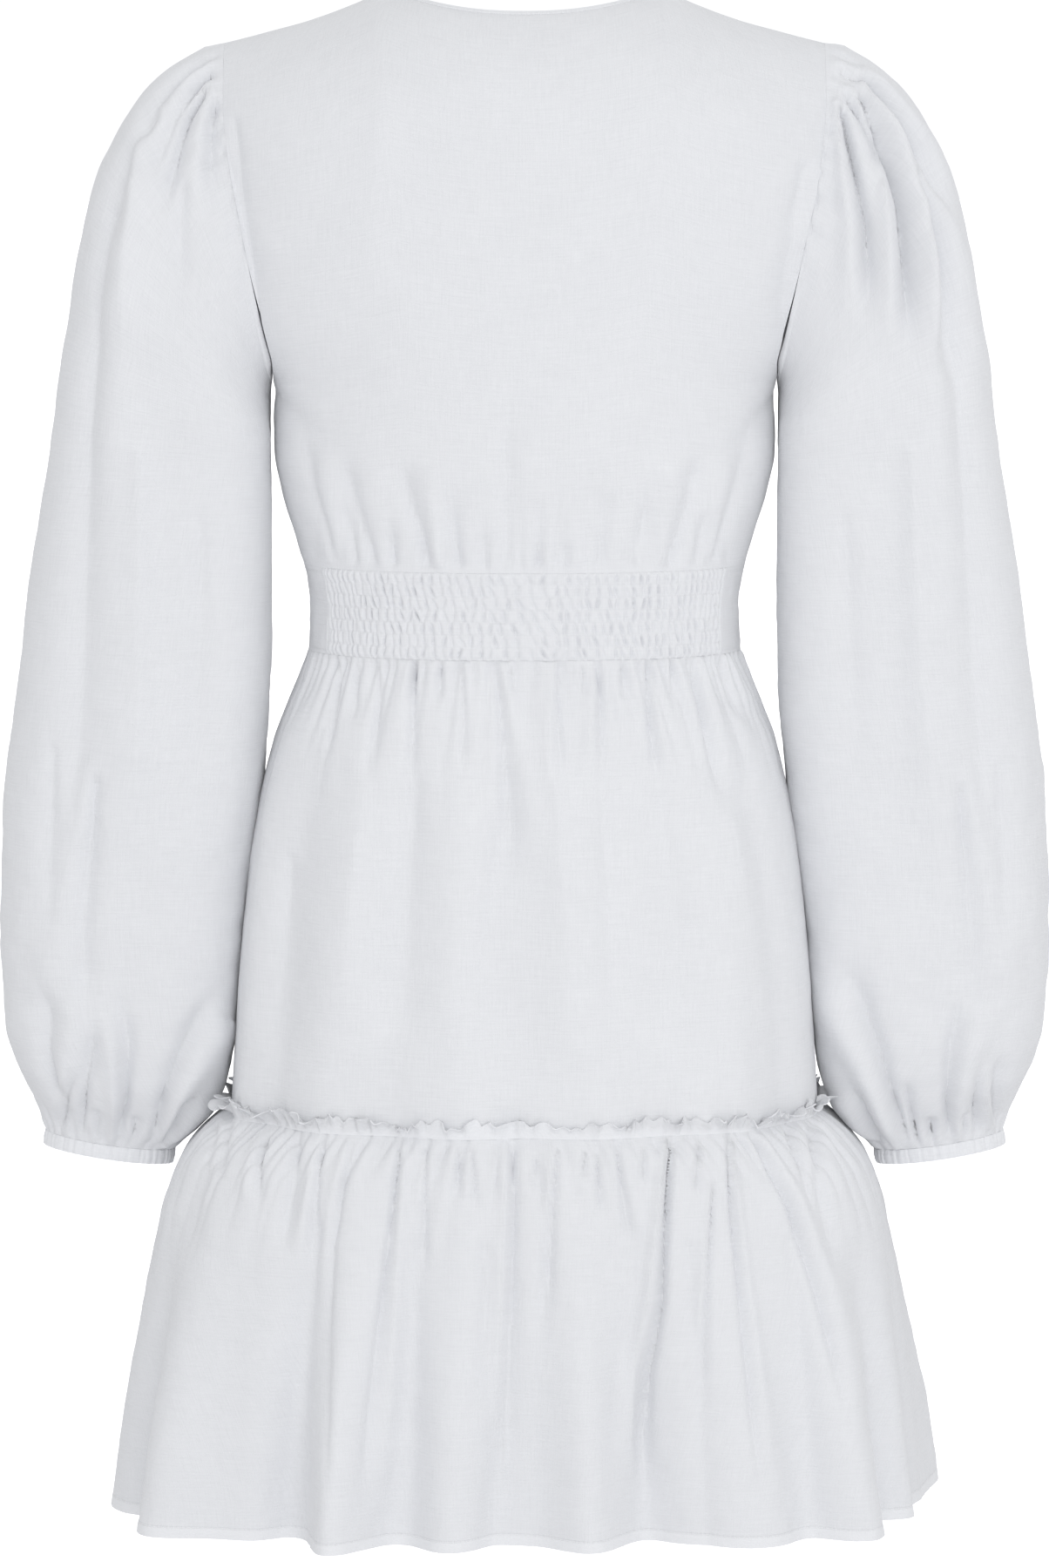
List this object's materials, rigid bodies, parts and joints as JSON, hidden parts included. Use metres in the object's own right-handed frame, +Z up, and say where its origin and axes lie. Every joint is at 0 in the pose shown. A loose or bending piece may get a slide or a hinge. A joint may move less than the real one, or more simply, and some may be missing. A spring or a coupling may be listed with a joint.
{
  "type": "linen dress",
  "caption": "Short white linen dress with a shirred back waist, full sleeves in elastic cuffs, and a gathered flounce with a frilled heading.",
  "frame": {"origin": "midway between the two high shoulder points at the neck, where the wearer's shoulders hold the dress", "axes": "+Z up, +Y toward the back of the dress, +X toward the wearer's left"},
  "size_m": [0.606, 0.3113, 0.8695],
  "materials": {
    "white_linen": "matt plain-weave linen with slubs, slightly see-through where it is single"
  },
  "bodies": {
    "root": {"back_bodice": "white_linen", "front_bodice": "white_linen", "neck_binding": "white_linen", "back_waist_shirred": "white_linen", "front_waistband": "white_linen", "back_skirt": "white_linen", "front_skirt": "white_linen", "back_flounce_heading": "white_linen", "front_flounce_heading": "white_linen", "back_flounce": "white_linen", "front_flounce": "white_linen", "left_sleeve": "white_linen", "right_sleeve": "white_linen", "left_cuff": "white_linen", "right_cuff": "white_linen"}
  },
  "joints": []
}
